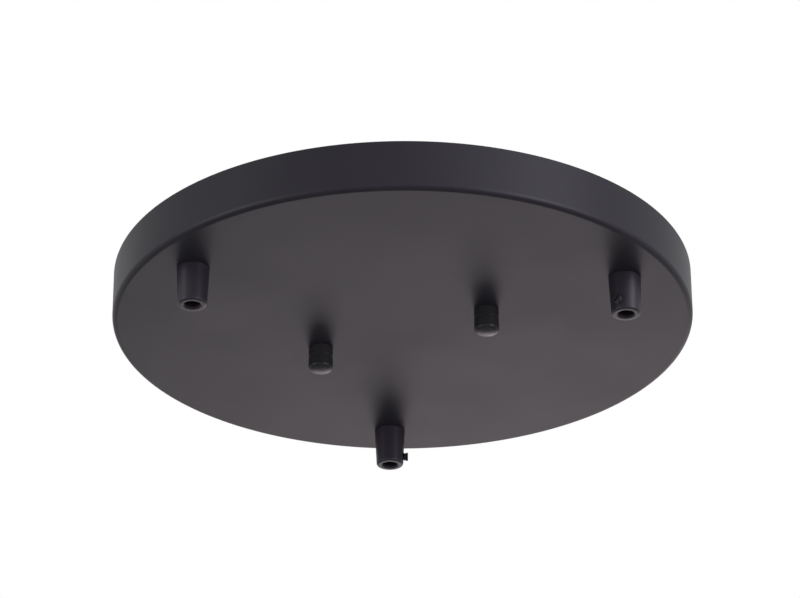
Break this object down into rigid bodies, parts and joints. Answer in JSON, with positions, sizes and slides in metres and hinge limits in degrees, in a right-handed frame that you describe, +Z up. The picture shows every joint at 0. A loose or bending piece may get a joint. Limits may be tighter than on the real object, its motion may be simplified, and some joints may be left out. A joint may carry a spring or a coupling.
{
  "type": "light fixture ceiling canopy",
  "caption": "Round shallow ceiling canopy for a cluster pendant: pressed pan, tapered cord grips, cap nuts and a crossbar for the outlet box.",
  "frame": {"origin": "centre of the crossbar's top face, in the ceiling plane where the pan's rim and the crossbar meet the ceiling", "axes": "+Z up into the ceiling, +X along the crossbar towards the right-hand cap nut and cord grip"},
  "size_m": [0.3, 0.3, 0.0465],
  "materials": {
    "satin_black_paint": "satin powder coat",
    "zinc_plate": "bright zinc plate",
    "earth_green": "green dyed plate",
    "gloss_black_metal": "gloss black",
    "moulded_black": "satin moulded"
  },
  "bodies": {
    "canopy": {"canopy_pan": "satin_black_paint", "crossbar": "zinc_plate", "ground_screw": "earth_green", "stud_right": "zinc_plate", "stud_left": "zinc_plate", "stud_nut_right": "zinc_plate", "stud_nut_left": "zinc_plate", "cord_grip_right": "moulded_black", "cord_grip_far": "moulded_black", "cord_grip_left": "moulded_black", "nipple_right": "zinc_plate", "nipple_far": "zinc_plate", "nipple_left": "zinc_plate", "lock_washer_right": "zinc_plate", "lock_washer_far": "zinc_plate", "lock_washer_left": "zinc_plate", "hex_nut_right": "zinc_plate", "hex_nut_far": "zinc_plate", "hex_nut_left": "zinc_plate"},
    "cap_nut_right": {"cap_nut_right": "gloss_black_metal"},
    "cap_nut_left": {"cap_nut_left": "gloss_black_metal"},
    "clamp_screw_right": {"clamp_screw_right": "moulded_black"},
    "clamp_screw_far": {"clamp_screw_far": "moulded_black"},
    "clamp_screw_left": {"clamp_screw_left": "moulded_black"}
  },
  "joints": [
    {"name": "cap_nut_right_travel", "type": "slide", "parent": "canopy", "child": "cap_nut_right", "axis": [0, 0, -1], "range_m": [0, 0.01]},
    {"name": "cap_nut_left_travel", "type": "slide", "parent": "canopy", "child": "cap_nut_left", "axis": [0, 0, -1], "range_m": [0, 0.01]},
    {"name": "clamp_screw_right_travel", "type": "slide", "parent": "canopy", "child": "clamp_screw_right", "axis": [0.0698, 0.9976, 0], "range_m": [0, 0.0024]},
    {"name": "clamp_screw_far_travel", "type": "slide", "parent": "canopy", "child": "clamp_screw_far", "axis": [-0.891, -0.454, 0], "range_m": [0, 0.0024]},
    {"name": "clamp_screw_left_travel", "type": "slide", "parent": "canopy", "child": "clamp_screw_left", "axis": [0, -1, 0], "range_m": [0, 0.0024]}
  ]
}
